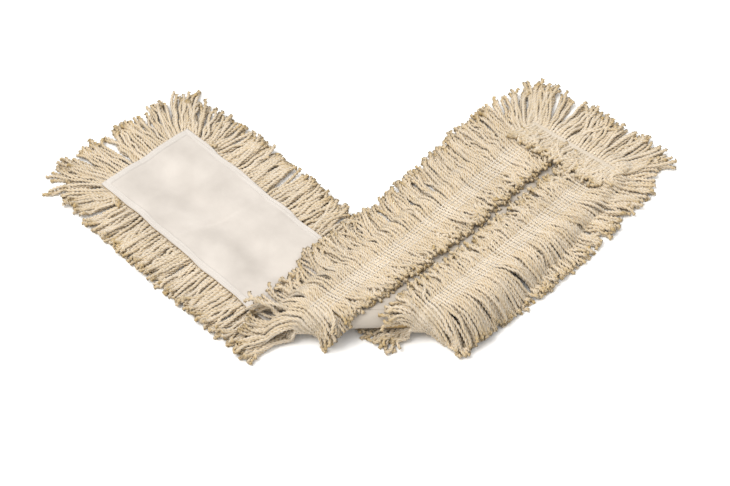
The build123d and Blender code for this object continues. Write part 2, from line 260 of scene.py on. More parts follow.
YARN = yarn_material("natural_cotton_yarn", (0.785, 0.71, 0.607, 1), (0.56, 0.435, 0.25, 1))
CANVAS = cloth_material("cotton_canvas", (0.715, 0.662, 0.608, 1), (0.40, 0.362, 0.325, 1))
HEM = cloth_material("canvas_hem", (0.66, 0.615, 0.57, 1), (0.50, 0.46, 0.42, 1))
# the backing cloth is a darker copy of the canvas, painted shade for where it lies in the bend
# and under the yarn; its last colour is painted shade under the yarn bands
SHADED_BACKING = cloth_material(
    "backing_canvas", (0.56, 0.505, 0.44, 1), (0.38, 0.335, 0.28, 1), (0.44, 0.31, 0.15, 1)
)
TAPE = cloth_material("sewn_tape", (0.64, 0.575, 0.49, 1), (0.47, 0.40, 0.31, 1))
THREAD = thread_material("sewing_thread", (0.74, 0.70, 0.64, 1))


# ---- meshes --------------------------------------------------------------------------
def make(name, points, faces, material, loops=None, layer="Cloth"):
    """A smooth-shaded mesh from millimetre points; loops is one map point per corner."""
    mesh = bpy.data.meshes.new(name)
    points = (np.asarray(points, float).reshape(-1, 3) + SHIFT) * 0.001
    faces = np.asarray(faces, np.int32)
    mesh.vertices.add(len(points))
    mesh.vertices.foreach_set("co", points.astype(np.float32).ravel())
    n, k = faces.shape
    mesh.loops.add(n * k)
    mesh.loops.foreach_set("vertex_index", faces.ravel())
    mesh.polygons.add(n)
    mesh.polygons.foreach_set("loop_start", np.arange(n, dtype=np.int32) * k)
    mesh.polygons.foreach_set("loop_total", np.full(n, k, np.int32))
    mesh.update(calc_edges=True)
    mesh.polygons.foreach_set("use_smooth", np.ones(n, bool))
    if loops is not None:
        uv = mesh.uv_layers.new(name=layer)
        uv.data.foreach_set("uv", np.asarray(loops, np.float32).ravel())
    mesh.validate()
    mesh.materials.append(material)
    o = bpy.data.objects.new(name, mesh)
    bpy.context.scene.collection.objects.link(o)
    return o


def slab(name, a, v, low, high, material):
    """Closed cloth between two offsets, over a grid of strip coordinates a, v."""
    rows, cols = a.shape
    index = np.arange(rows * cols).reshape(rows, cols)
    quads = np.stack(
        [index[:-1, :-1], index[1:, :-1], index[1:, 1:], index[:-1, 1:]], -1
    ).reshape(-1, 4)
    count = rows * cols
    rim = np.concatenate(
        [index[0, :], index[1:, -1], index[-1, -2::-1], index[-2:0:-1, 0]]
    )
    after = np.roll(rim, -1)
    sides = np.stack([rim, after, after + count, rim + count], -1)
    faces = np.concatenate([quads, quads[:, ::-1] + count, sides])
    points = np.concatenate([strip(a, v, high), strip(a, v, low)]).reshape(-1, 3)
    flat = np.stack([a, v], -1).reshape(-1, 2) * 0.001
    flat = np.concatenate([flat, flat])
    return make(name, points, faces, material, flat[faces.ravel()])


def fit_normals(o):
    """Makes every face of a closed mesh look outwards."""
    b = bmesh.new()
    b.from_mesh(o.data)
    bmesh.ops.recalc_face_normals(b, faces=b.faces)
    b.to_mesh(o.data)
    b.free()


def grid(part, v0, v1, step_v=2.6):
    """Strip coordinates over one part: left, fold or right, between two lines v."""
    v = np.linspace(v0, v1, max(3, int(abs(v1 - v0) / step_v) + 1))
    if part == "left":
        start, stop = at_fold(v), np.full_like(v, LEFT)
    elif part == "fold":
        start, stop = at_fold(v), at_fold(v, math.pi)
    else:
        start, stop = at_fold(v, math.pi), np.full_like(v, RIGHT)
    longest = np.abs(stop - start).max()
    n = max(3, int(longest / (1.6 if part == "fold" else 3.0)) + 1)
    t = np.linspace(0, 1, n)[:, None]
    return start[None] + t * (stop - start)[None], np.broadcast_to(v[None], (n, len(v)))


BODY = {"left": "lower_arm", "right": "upper_arm"}


def bending(o):
    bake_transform(o)


def attach(o, part):
    fit_normals(o)
    if part == "fold":
        bending(o)
    else:
        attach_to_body(o, BODY[part])


def hem_top(inset, ripple):
    """Offset of a turned hem's upper face: round at its edges and drawn in at its stitches."""
    seam = sum(np.exp(-(((inset - row) / 0.9) ** 2)) for row in HEM_ROWS)
    rise, drop = np.clip(inset, 0, 1), np.clip((HEM_WIDTH - inset) / 2.4, 0, 1)
    edge = np.sqrt(rise) * np.sqrt(drop)
    return CLOTH_T + 0.05 + HEM_T * edge * (1 - 0.45 * seam) + 0.12 * np.sin(ripple) * edge


SHEETS = (("pocket_cloth", CLOTH_GAP, CLOTH_T, CANVAS),
          ("backing_canvas", -CLOTH_T, -CLOTH_GAP, SHADED_BACKING))
SIDE_HEMS = (("one", -HALF, -HALF + HEM_WIDTH), ("two", HALF - HEM_WIDTH, HALF))
for part in ("left", "fold", "right"):
    a, v = grid(part, -HALF, HALF)
    for label, low, high, material in SHEETS:
        o = slab(label + "_weave_" + part, a, v, low, high, material)
        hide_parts(label + "_" + part)
        attach(o, part)
    for label, v0, v1 in SIDE_HEMS:
        a, v = grid(part, v0, v1, 1.25)
        top = hem_top(HALF - np.abs(v), a / 1.9 + 3)
        o = slab("turned_hem_" + label + "_" + part, a, v, CLOTH_T + 0.01, top, HEM)
        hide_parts("pocket_hem_side_" + label + "_" + part)
        attach(o, part)
for part, end, inward in (("left", LEFT, -1), ("right", RIGHT, 1)):
    v = np.linspace(-HALF + 0.6, HALF - 0.6, 90)
    inset = np.linspace(0, HEM_WIDTH, 9)[:, None] + 0 * v
    a = end + inward * inset
    v = np.broadcast_to(v[None], a.shape)
    o = slab("turned_hem_end_" + part, a, v, CLOTH_T + 0.01, hem_top(inset, v / 1.9), HEM)
    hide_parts("pocket_hem_end_" + part)
    attach(o, part)


def stitches(name, centres, along, up, length, width):
    """Short rounded stitches: centre, direction and outward normal for each."""
    around = 6
    ts = np.linspace(-1, 1, 5)
    shape = np.sqrt(np.clip(1 - ts**4, 0.04, 1))
    side = np.cross(up, along)
    points = []
    for t, s in zip(ts, shape):
        mid = centres + along * t * length / 2 - up * (0.35 * t * t)
        for k in range(around):
            f = 2 * math.pi * k / around
            points.append(mid + (side * math.cos(f) + up * math.sin(f)) * s * width / 2)
    points = np.stack(points, 1)
    n = len(centres)
    faces = []
    for i in range(len(ts) - 1):
        for k in range(around):
            k2 = (k + 1) % around
            low, high = i * around, (i + 1) * around
            faces.append((low + k, low + k2, high + k2, high + k))
    for base in (0, (len(ts) - 1) * around):
        faces.append((base, base + 1, base + 2, base + 3))
        faces.append((base, base + 3, base + 4, base + 5))
    faces = np.array(faces)[None] + (np.arange(n) * len(ts) * around)[:, None, None]
    return make(name, points, faces.reshape(-1, 4), THREAD)


def line_stitches(name, runs, w, pitch, length, width):
    """Stitches along straight runs ((a0, v0), (a1, v1)) of the strip at offset w."""
    centre, along, up = [], [], []
    for (a0, v0), (a1, v1) in runs:
        d = math.hypot(a1 - a0, v1 - v0)
        t = (np.arange(int(d / pitch)) + 0.5) * pitch / d
        a, v = a0 + (a1 - a0) * t, v0 + (v1 - v0) * t
        da, dv = (a1 - a0) / d, (v1 - v0) / d
        p = strip(a, v, w)
        q = strip(a + da, v + dv, w)
        n = strip(a, v, w + np.sign(w)) - p
        centre.append(p)
        along.append((q - p) / np.linalg.norm(q - p, axis=-1)[:, None])
        up.append(n / np.linalg.norm(n, axis=-1)[:, None])
    return stitches(
        name, np.concatenate(centre), np.concatenate(along), np.concatenate(up), length, width
    )


for part, end in (("left", LEFT), ("right", RIGHT)):
    for label, inset in zip(("outer", "inner"), HEM_ROWS):
        row = HALF - inset
        turn = 0.0 if part == "left" else math.pi
        stop = end - inset if part == "left" else end + inset
        corners = [(float(at_fold(-row, turn)), -row), (stop, -row), (stop, row),
                   (float(at_fold(row, turn)), row)]
        runs = list(zip(corners[:-1], corners[1:]))
        name = "hem_stitches_" + label + "_" + part
        o = line_stitches(name, runs, CLOTH_T + 0.62, 3.7, 3.1, 0.75)
        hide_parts("seam_thread_" + label + "_" + part)
        attach(o, part)


# ---- yarn ------------------------------------------------------------------------------
N_IN, N_CORE, N_OUT = 24, 15, 48  # points of a band yarn: inner fringe, sewn part, outer fringe
END_IN, END_CORE = 27, 9  # the same for the end strips' yarn, whose outer fringe has N_OUT
END_SEAM = 8.0  # middle of an end strip's sewn part, from the end of the cloth
LAYERS = 3
LAYER_STEP = 1.9
PITCH = 5.0  # between neighbouring yarns of one layer
REST = YARN_R * 0.9  # height of a yarn's centre over what it rests on
PILE_TOP = 58.0
FREE = 99.0  # a ceiling that nothing reaches
CIRCLE = 6.283
AROUND = 6  # corners of a yarn's section: three plies and three grooves
LABEL = {-1: "one", 1: "two"}
KINDS = ("core", "inner_fringe", "outer_fringe")
# turns of the fold, in radians, from which its yarn hangs in front of it or lies over it
FOLD_FRONT, FOLD_OVER = math.radians(65), math.radians(115)
# how far the right arm's fringes lean towards its end, in radians, along the arm
LEAN_AT = (100, 150, 200, 250, 300, 345, 375, 420, 470)
LEAN = {-1: (0.0, 0.05, 0.15, 0.18, 0.2, 0.2, 0.2, 0.16, 0.1),
        1: (0.05, 0.0, -0.05, 0.02, -0.22, 0.05, 0.42, 0.45, 0.3)}


class Pile:
    """Heights of what has been laid down so far, on a plan grid."""

    x0, y0, cell = -520.0, -140.0, 1.5
    cells = (720, 450)

    def __init__(self):
        self.h = np.zeros(self.cells)
        self.base = np.zeros(self.cells)
        reach = np.arange(-2, 3)
        gx, gy = np.meshgrid(reach, reach, indexing="ij")
        self.off = [(i, j, math.hypot(i, j) * self.cell) for i, j in zip(gx.ravel(), gy.ravel())]

    def at(self, x, y, cap):
        """What a yarn rests on at x, y: it sinks between others deeper than cap."""
        cell = int((x - self.x0) / self.cell), int((y - self.y0) / self.cell)
        base = self.base[cell]
        return base, min(self.h[cell], base + cap)

    def lay(self, path, radius):
        i = ((path[:, 0] - self.x0) / self.cell).astype(int)
        j = ((path[:, 1] - self.y0) / self.cell).astype(int)
        for di, dj, d in self.off:
            if d < radius:
                top = path[:, 2] + 0.8 * math.sqrt(radius**2 - d**2)
                np.maximum.at(self.h, (i + di, j + dj), top)

    def press(self, highest):
        """Packs what lies below highest, so that later yarn sinks in by 1 mm at most."""
        self.base = np.maximum(self.base, np.minimum(self.h - 1.0, highest))

    def cover(self, part, top):
        """Lays the cloth of one arm over everything below it."""
        x = self.x0 + (np.arange(self.cells[0]) + 0.5) * self.cell
        y = self.y0 + (np.arange(self.cells[1]) + 0.5) * self.cell
        x, y = np.meshgrid(x, y, indexing="ij")
        if part == "left":
            a, v = -C * x + S * y, S * x + C * y
            inside = (y > 0) & (np.abs(v) < HALF) & (a < LEFT)
            z = CLOTH_Z + top + dip(a, v)
        else:
            b = y + ARC
            a, v = C * x + S * b, S * x - C * b
            inside = (y > 0) & (np.abs(v) < HALF) & (a < -RIGHT)
            z = fall(y) + top
        self.h = np.where(inside, z, self.h)
        self.base = np.where(inside, z, self.base)


pile = Pile()


def left_ceiling(x, y):
    """Underside of the left arm's cloth over x, y, less half a yarn."""
    a, v = -C * x + S * y, S * x + C * y
    if abs(v) > HALF + 1 or a > LEFT + 1:
        return FREE
    return CLOTH_Z - CLOTH_T - YARN_R + float(dip(np.float64(a), np.float64(v)))


def right_ceiling(x, y):
    """The same for the right arm's cloth, half a millimetre lower."""
    b = y + ARC
    a, v = C * x + S * b, S * x - C * b
    if y < 0 or abs(v) > HALF + 1 or a > -RIGHT:
        return FREE
    return float(fall(y)) - CLOTH_T - YARN_R - 0.5


def both_ceilings(x, y):
    return min(left_ceiling(x, y), right_ceiling(x, y))


def ceiling_over(past):
    """The cloth over yarn that is rooted so many millimetres past the start of the fold."""
    if past < 0:
        return left_ceiling
    if past > R * FOLD_OVER:
        return None
    return right_ceiling if past > R * FOLD_FRONT else both_ceilings


def waves(x, spans, amplitude, seed):
    """Smooth random function of x."""
    g = np.random.default_rng(seed)
    total = np.zeros_like(np.asarray(x, float))
    for span in spans:
        phase = 2 * math.pi * np.asarray(x) / span + g.uniform(0, CIRCLE)
        total = total + np.sin(phase) * g.uniform(0.6, 1.0)
    return amplitude * total / math.sqrt(len(spans))


def clumps(x, low, high, seed):
    """Signed distance from each x to the centre of its clump."""
    g = np.random.default_rng(seed)
    edges = [x.min() - 20]
    while edges[-1] < x.max() + 20:
        edges.append(edges[-1] + g.uniform(low, high))
    edges = np.array(edges)
    i = np.searchsorted(edges, x) - 1
    middle = (edges[i] + edges[np.minimum(i + 1, len(edges) - 1)]) / 2
    return middle - x


def swing(g, amount, shortest, longest):
    """A random swing of heading: its size in radians, length of one swing and phase."""
    return g.normal(0, amount), g.uniform(shortest, longest), g.uniform(0, CIRCLE)


def cut_short(g):
    """A few yarns end well before their neighbours."""
    return g.uniform(4, 14) if g.random() < 0.08 else 0


def clear_of_bend(x, y, z, last_y, step):
    """Moves a yarn point out of the bend; nothing slips in between the two arms."""
    up = z - AXIS_Z
    d = math.hypot(y, up)
    keep = R + CLOTH_T + REST
    if d < keep and y < 6:
        turned = math.atan2(-min(y, 0.0), -up)
        across = (x - turned * R * C / S) * S
        if abs(across) < HALF:
            push = min(keep - d, 0.8 * step) / d
            y, z = y + y * push, z + up * push
    if last_y <= 0 < y + 1 and abs(up) < R + CLOTH_T and -HALF + C * ARC < S * x < HALF:
        y = -1.0
    return y, z


def grow(start, heading, length, count, turn, droop, ceiling=None, wrap=False, cap=6.0,
         wave=(0.0, 30.0, 0.0), pull=0.0, hook=0.0, lift=0.0):
    """A free yarn end from start: bends under its weight and rests on the pile.

    turn is its steady turning in plan per millimetre and wave comes from swing(). pull
    turns it towards its neighbours, hook curls its last third and lift raises that.
    """
    step = length / count
    amount, period, phase = wave
    run = np.arange(count + 1) * step
    bend = smooth(run / 18) * amount * np.sin(run / period * CIRCLE + phase)
    bend = bend + pull * smooth(run / 24) + turn * run
    bend = bend + hook * length * 0.35 * np.clip((run / length - 0.65) / 0.35, 0, 1) ** 2
    bend = np.diff(bend)
    sag = droop * step * np.where(run / length > 0.7, 1 - lift, 1.0)
    px, py, pz = (float(c) for c in start)
    dx, dy, dz = (float(c) for c in heading)
    path = []
    for k in range(count):
        c, s = math.cos(bend[k]), math.sin(bend[k])
        dx, dy = c * dx - s * dy, s * dx + c * dy
        dz -= sag[k] * (1.0 - 0.6 * dz * dz)
        n = math.sqrt(dx * dx + dy * dy + dz * dz)
        dx, dy, dz = dx / n, dy / n, dz / n
        qx, qy, qz = px + dx * step, py + dy * step, pz + dz * step
        if wrap:
            qy, qz = clear_of_bend(qx, qy, qz, py, step)
        base, h = pile.at(qx, qy, cap)
        rests = qz < h + REST
        if rests:
            qz = max(min(h + REST, pz + 0.22 * step), min(base + REST, pz + 0.6 * step))
        if ceiling is not None:
            qz = min(qz, ceiling(qx, qy))
        qz = min(qz, PILE_TOP - 0.25 * k / count)
        steepest = 0.15 if rests else 0.7
        dz = min((qz - pz) / step, steepest)
        n = math.sqrt(dx * dx + dy * dy + dz * dz)
        dx, dy, dz = dx / n, dy / n, dz / n
        px, py, pz = qx, qy, qz
        path.append((px, py, pz))
    return np.array(path)


def even(path):
    """Takes the kinks out of a path and keeps its ends."""
    for _ in range(3):
        inner = (path[:-2] + 2 * path[1:-1] + path[2:]) / 4
        path = np.concatenate([path[:1], inner, path[-1:]])
    return path


def unit(d):
    return d / np.linalg.norm(d)


def outer_length(side, past):
    """Length of a band's outer fringe where its root is so far past the start of the fold."""
    if side < 0:
        if past < 0:
            return 72 - 4 * math.exp(past / 40)
        long = 84 if past > ARC else 72 + 16 * float(smooth(past / R / 1.6))
        return long + 8 * math.exp(-(((past - ARC - 30) / 40) ** 2))
    if past < 0:
        return 78
    long = 76 if past > ARC else 72
    return long - 6 * math.exp(-((max(past - ARC, 0) / 60) ** 2))


def inner_length(side, past):
    """The same for its inner fringe, which is shortest inside the bend."""
    near_fold = math.exp(-((max(past - ARC, 0) / 45) ** 2))
    if past <= 0:
        return 41
    if side < 0:
        return 41 - 7 * near_fold
    return 25 if past < R * FOLD_FRONT else 41 + 2 * near_fold


def band_yarn(side, a_root, layer, seed):
    """Paths of the yarns of one band, each from its inner tip to its outer tip."""
    g = np.random.default_rng(seed)
    n = len(a_root)
    nth = layer.astype(int)
    common = waves(a_root, (37, 61, 113), 0.075, seed + 1)
    own = [waves(a_root, (29, 47, 83), 0.05, seed + 20 + k) for k in range(LAYERS)]
    slant = common + np.choose(nth, own) + g.normal(0, 0.05, n)
    curl = waves(a_root, (29, 53, 97), 0.0028, seed + 2) + g.normal(0, 0.0018, n)
    tufts = [clumps(a_root, 10, 24, seed + 30 + k) / 78 for k in range(LAYERS)]
    gather = np.choose(nth, tufts)
    v = side * np.linspace(CORE_IN, CORE_OUT, N_CORE)
    press = sum(np.exp(-(((np.abs(v) - row) / 1.7) ** 2)) for row in SEW_ROWS)
    paths = []
    for i in range(n):
        past = -(S * a_root[i] + C * side * CORE_MID)
        left = past < 0
        front_lobe = side < 0 and 0 <= past <= ARC
        top = (1 - layer[i] / 2) if left else layer[i] / 2
        w = -(CLOTH_T + LAYER_STEP + LAYER_STEP * layer[i]) - g.normal(0, 0.25)
        w = w + press * (0.2 + 0.9 * layer[i])
        a = a_root[i] + math.tan(slant[i]) * (np.abs(v) - CORE_MID)
        core = strip(a, v, w)
        # spreads out to fill the corners at the strip's ends
        at_left, at_right = a_root[i] - (LEFT - 58), (RIGHT + 58) - a_root[i]
        fan = 0.86 * (smooth(at_left / 42) - smooth(at_right / 42))
        lean = 0.0 if left else float(np.interp(-a_root[i], LEAN_AT, LEAN[side]))
        long = outer_length(side, past) + 9 * abs(fan) + g.normal(0, 2.2) - cut_short(g)
        short = inner_length(side, past) + g.normal(0, 2.4)
        out = unit(core[-1] - core[-3])
        ahead = unit(strip(a[-1] + 1, v[-1], w[-1]) - strip(a[-1], v[-1], w[-1]))
        heading = unit(out + ahead * math.tan(0.8 * fan - 0.5 * lean + 0.6 * slant[i]))
        if front_lobe:
            turned = past / R
            aside = (0.25 + 1.1 * min(turned, 1.2)) * float(smooth((3.3 - turned) / 1.2))
            heading = unit(heading - np.array([aside, 0, 0]))
        # turning one way in plan swings the yarn to the strip's end on one side only
        hand = 1.0 if np.cross(out, ahead)[2] > 0 else -1.0
        together = gather[i] * (0.35 if front_lobe else 1.0)
        pull = hand * (0.25 * fan - 0.6 * lean + together * (0.06 + 0.4 * top))
        hook = g.normal(0, 0.018)
        lift = 1.6 if g.random() < 0.25 else 0.3
        cap = 1.4 + 4.8 * top + g.uniform(-0.5, 1.2)
        shared = {
            "droop": 0.05 if left else 0.034,
            "ceiling": ceiling_over(past),
            "wrap": not left and past < ARC + 60,
            "cap": cap,
        }
        wave = swing(g, 0.22, 17, 40)
        outer = grow(core[-1], heading, long, N_OUT, turn=curl[i], wave=wave,
                     pull=pull, hook=hook, lift=lift, **shared)
        back = unit(core[0] - core[2])
        heading = unit(back - ahead * (0.4 * slant[i] - 0.4 * lean + g.normal(0, 0.12)))
        wave = swing(g, 0.5, 16, 30)
        inner = grow(core[0], heading, short, N_IN, turn=curl[i] * 1.6 + g.normal(0, 0.010),
                     wave=wave, hook=g.normal(0, 0.05), lift=1.0, **shared)
        path = even(np.concatenate([inner[::-1], core, outer]))
        pile.lay(path[3:-3], YARN_R)
        paths.append(path)
    return np.array(paths)


def end_yarn(part, v_root, layer, seed):
    """Paths of the yarns of an end strip, from the inner tip to the outer tip."""
    g = np.random.default_rng(seed)
    left = part == "left"
    end, way = (LEFT, 1.0) if left else (RIGHT, -1.0)
    n = len(v_root)
    most = np.where(v_root < 0, 0.8, 0.8 if left else 0.55)
    spread = most * np.sign(v_root) * smooth((np.abs(v_root) - 34) / 44)
    slant = waves(v_root, (31, 47, 83), 0.12, seed + 1) + g.normal(0, 0.05, n)
    curl = waves(v_root, (27, 59), 0.004, seed + 2) + g.normal(0, 0.003, n)
    tufts = [clumps(v_root, 12, 26, seed + 3 + (k if left else 0)) / 76 for k in range(LAYERS)]
    gather = np.choose(layer.astype(int), tufts)
    over_bands = 0.0 if left else 1.0
    a = end - way * np.linspace(15, 1.5, END_CORE)
    press = np.exp(-(((np.abs(a - end) - END_SEAM) / 3.0) ** 2))
    paths = []
    for i in range(n):
        top = (1 - layer[i] / 2) if left else layer[i] / 2
        w = -(CLOTH_T + LAYER_STEP + LAYER_STEP * layer[i] + over_bands)
        w = w + press * (0.4 + 0.9 * layer[i])
        v = v_root[i] + way * (a - end + way * END_SEAM) * math.tan(0.4 * slant[i])
        core = strip(a, v, w)
        long = 77 + g.normal(0, 3.5) + 10 * abs(spread[i])
        short = 42 + g.normal(0, 3.5)
        out = unit(core[-1] - core[-3])
        across = unit(strip(a[-1], v[-1] + 1, w[-1]) - strip(a[-1], v[-1], w[-1]))
        hand = 1.0 if np.cross(out, across)[2] > 0 else -1.0
        pull = hand * gather[i] * (0.1 + 0.26 * top if left else 0.5)
        heading = unit(out + across * math.tan(spread[i] + 0.7 * slant[i]))
        if not left:
            heading = unit(heading + np.array([0, 0, g.uniform(-0.1, 0.25)]))
        ceiling = left_ceiling if left else None
        cap = 1.4 + 5.2 * top + g.uniform(-0.5, 1.3)
        wave = swing(g, 0.15, 20, 42)
        hook = g.normal(0, 0.018)
        lift = 1.6 if g.random() < 0.3 else 0.3
        outer = grow(core[-1], heading, long, N_OUT, turn=curl[i], droop=0.036, ceiling=ceiling,
                     cap=cap, wave=wave, pull=pull, hook=hook, lift=lift)
        back = unit(core[0] - core[2])
        heading = unit(back + across * g.normal(0, 0.2))
        if not left:
            heading = unit(heading + np.array([0, 0, 0.55]))
        wave = swing(g, 0.5, 16, 30)
        inner = grow(core[0], heading, short, END_IN, turn=g.normal(0, 0.012), droop=0.045,
                     ceiling=ceiling, cap=9.0, wave=wave, hook=g.normal(0, 0.06), lift=1.0)
        path = even(np.concatenate([inner[::-1], core, outer]))
        pile.lay(path[3:-3], YARN_R)
        paths.append(path)
    return np.array(paths)


def carried_frames(paths):
    """Tangents of each path and two directions across it, carried along without twist."""
    tangent = np.gradient(paths, axis=1)
    tangent /= np.linalg.norm(tangent, axis=-1, keepdims=True)
    side = np.cross(tangent[:, 0], [0.3, 0.2, 1.0])
    side /= np.linalg.norm(side, axis=-1, keepdims=True)
    sides = [side]
    for k in range(1, paths.shape[1]):
        t = tangent[:, k]
        side = side - t * np.sum(side * t, -1, keepdims=True)
        side /= np.linalg.norm(side, axis=-1, keepdims=True)
        sides.append(side)
    sides = np.stack(sides, 1)
    return tangent, sides, np.cross(tangent, sides)


def tube(m):
    """Faces of one closed tube of m rings and two cap points, with their map points."""
    ring = np.arange(AROUND)
    after = (ring + 1) % AROUND
    u0, u1 = ring / AROUND, (ring + 1) / AROUND
    quads, maps = [], []
    for k in range(m - 1):
        base, up = k * AROUND, (k + 1) * AROUND
        quads.append(np.stack([base + ring, base + after, up + after, up + ring], -1))
        v0, v1 = np.full(AROUND, k / (m - 1)), np.full(AROUND, (k + 1) / (m - 1))
        corners = ((u0, v0), (u1, v0), (u1, v1), (u0, v1))
        maps.append(np.stack([np.stack(p, -1) for p in corners], 1))
    pairs = np.arange(0, AROUND, 2)
    ends = ((0, m * AROUND, 0.0, 1), ((m - 1) * AROUND, m * AROUND + 1, 1.0, -1))
    for base, cap, v, order in ends:
        cap, v = np.full(len(pairs), cap), np.full(len(pairs), v)
        quad = np.stack([cap, base + (pairs + 2) % AROUND, base + pairs + 1, base + pairs], -1)
        corners = np.stack([np.stack([(pairs + d) / AROUND, v], -1) for d in (1, 2, 1, 0)], 1)
        quads.append(quad[:, ::order])
        maps.append(corners[:, ::order])
    return np.concatenate(quads), np.concatenate(maps)


def yarn_mesh(name, paths, seed):
    """Twisted three-ply yarn along each path, frayed and darker at the cut ends."""
    g = np.random.default_rng(seed)
    n, m, _ = paths.shape
    tangent, sides, ups = carried_frames(paths)
    length = np.linalg.norm(np.diff(paths, axis=1), axis=-1)
    s = np.concatenate([np.zeros((n, 1)), np.cumsum(length, 1)], 1)
    from_end = np.minimum(s, s[:, -1:] - s)
    pitch = 16.5 * g.uniform(0.9, 1.15, (n, 1))
    twist = 2 * math.pi * s / pitch + g.uniform(0, CIRCLE, (n, 1))
    splay = smooth(1 - from_end / g.uniform(3, 9, (n, 1)))
    radius = YARN_R * g.uniform(0.92, 1.1, (n, 1))
    radius = radius * (1 + 0.05 * np.sin(s / 7 + g.uniform(0, 6.28, (n, 1))))
    radius = radius * (1 + splay * g.uniform(-0.2, 0.25, (n, 1)))
    lobes = 0.27 + 0.15 * splay
    ply = np.where(np.arange(AROUND) % 2, -1.0, 1.0)
    f = twist[..., None] + 2 * math.pi * np.arange(AROUND) / AROUND
    shape = radius[..., None] * (1 + lobes[..., None] * ply)
    shape = shape * (1 + splay[..., None] * g.normal(0, 0.08, (n, m, AROUND)))
    points = (paths[:, :, None] + sides[:, :, None] * (np.cos(f) * shape)[..., None]
              + ups[:, :, None] * (np.sin(f) * shape)[..., None])
    points[..., 2] = np.maximum(points[..., 2], 0.05)
    caps = np.stack([paths[:, 0] + tangent[:, 0] * 0.8, paths[:, -1] - tangent[:, -1] * 0.8], 1)
    points = np.concatenate([points.reshape(n, -1, 3), caps], 1)
    per = m * AROUND + 2
    quads, maps = tube(m)
    faces = (quads[None] + (np.arange(n) * per)[:, None, None]).reshape(-1, 4)
    cells = int(math.ceil(math.sqrt(n)))
    cell = np.stack([np.arange(n) % cells, np.arange(n) // cells], -1)
    loops = (cell[:, None, None] + 0.06 + 0.88 * maps[None]) / cells
    o = make(name, points, faces, YARN, loops.reshape(-1, 2), "OFBake")
    tip = smooth(1 - from_end / g.uniform(6, 22, (n, 1))) * g.uniform(0.15, 1.0, (n, 1))
    tip = np.concatenate([np.repeat(tip, AROUND, 1), tip[:, :1], tip[:, -1:]], 1)
    # mask of the painted shade in the grooves between plies, weaker on the part sewn flat
    from_sewn = np.abs(np.arange(m) - N_IN - N_CORE / 2)
    calm = 1 - 0.3 * smooth((N_CORE / 2 + 2 - from_sewn) / 4)
    groove_shade = np.repeat(calm, AROUND) * np.tile([0.0, 1.0], m * AROUND // 2)
    groove_shade = np.concatenate([np.tile(groove_shade, (n, 1)), np.ones((n, 2))], 1)
    tone = np.repeat(g.random((n, 1)), per, 1)
    for key, values in (("tip", tip), ("tone", tone), ("groove_shade", groove_shade)):
        layer = o.data.attributes.new(key, "FLOAT", "POINT")
        layer.data.foreach_set("value", values.astype(np.float32).ravel())
    return o


def roots(first, last, pitch, seed):
    """Sewing positions from first to last in each layer, lower layer first."""
    g = np.random.default_rng(seed)
    places, layer = [], []
    for k in range(LAYERS):
        x = np.arange(first + pitch * k / LAYERS, last, pitch)
        places.append(x + g.normal(0, 0.35, len(x)))
        layer.append(np.full(len(x), float(k)))
    return np.concatenate(places), np.concatenate(layer)


def joined(*groups):
    """Several results of roots() as one."""
    return tuple(np.concatenate(parts) for parts in zip(*groups))


def end_roots(seed):
    """Sewing positions across an end strip, closer together at its corners."""
    return joined(roots(-77, 77, PITCH, seed),
                  roots(-76, -50, 7.5, seed + 4), roots(50, 76, 7.5, seed + 4))


def band_roots(side):
    """Sewing positions of a band, closer together round the bend and near both ends."""
    first, last = (float(at_fold(side * CORE_MID, turn)) for turn in (2.3, 0.85))
    a, layer = joined(roots(RIGHT + 15, LEFT - 15, PITCH, 40 + side),
                      roots(first, last, 5.4, 50 + side),
                      roots(RIGHT + 16, RIGHT + 48, 7.0, 54 + side),
                      roots(LEFT - 48, LEFT - 16, 7.0, 54 + side))
    return a, layer, -(S * a + C * side * CORE_MID) / R


all_roots = {side: band_roots(side) for side in (-1, 1)}


def laid(side, choose, seed, flip=False):
    """Grows the chosen yarns of one band; under the left arm the far layer goes first."""
    a, layer, turn = all_roots[side]
    pick = choose(turn)
    a, layer = a[pick], layer[pick]
    order = np.lexsort((random.random(len(a)), -layer if flip else layer))
    return a[order], band_yarn(side, a[order], layer[order], seed)


def chunked(name, a, paths, seed, parts, nodes, place):
    """Splits a long band into pieces of neighbouring yarns."""
    edges = np.quantile(a, np.linspace(0, 1, parts + 1))
    for k in range(parts):
        pick = (a >= edges[k]) & ((a < edges[k + 1]) | (k == parts - 1))
        label = name + ("_%d" % (k + 1) if parts > 1 else "")
        o = yarn_mesh(label, paths[pick], seed + k)
        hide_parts(*nodes)
        place(o)


def riding(body):
    return lambda o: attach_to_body(o, body)


def hanging(o):
    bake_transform(o)


def band_nodes(side, part):
    return ["band_%s_%s_%s" % (LABEL[side], kind, part) for kind in KINDS]


def arm_yarn(side, part, choose, seed):
    """A band's yarn on one arm, clear of the fold, in three pieces."""
    a, paths = laid(side, choose, seed + side, flip=part == "left")
    name = "yarn_band_%s_%s" % (LABEL[side], part)
    chunked(name, a, paths, seed + 100, 3, band_nodes(side, part), riding(BODY[part]))


def fold_yarn(label, first, last, seed):
    """Yarn rooted on the bend: what has an end over the left arm goes into a piece of its own.
    """
    for side in (-1, 1):
        a, paths = laid(side, lambda turn: (turn >= first) & (turn < last), seed + side)
        behind = (paths[:, [0, -1], 1].max(1) > 2) & (last > FOLD_FRONT)
        for kind, pick, place in (("", ~behind, bending), ("_laid", behind, hanging)):
            if pick.any():
                name = "yarn_band_%s_fold_%s%s" % (LABEL[side], label, kind)
                chunked(name, a[pick], paths[pick], seed, 1, band_nodes(side, "fold"), place)


def end_strip_yarn(part, root_seed, path_seed, mesh_seed):
    v, layer = end_roots(root_seed)
    order = np.lexsort((random.random(len(v)), -layer if part == "left" else layer))
    paths = end_yarn(part, v[order], layer[order], path_seed)
    nodes = ["end_strip_%s_%s" % (kind, part) for kind in KINDS]
    chunked("yarn_end_strip_" + part, v[order], paths, mesh_seed, 1, nodes, riding(BODY[part]))


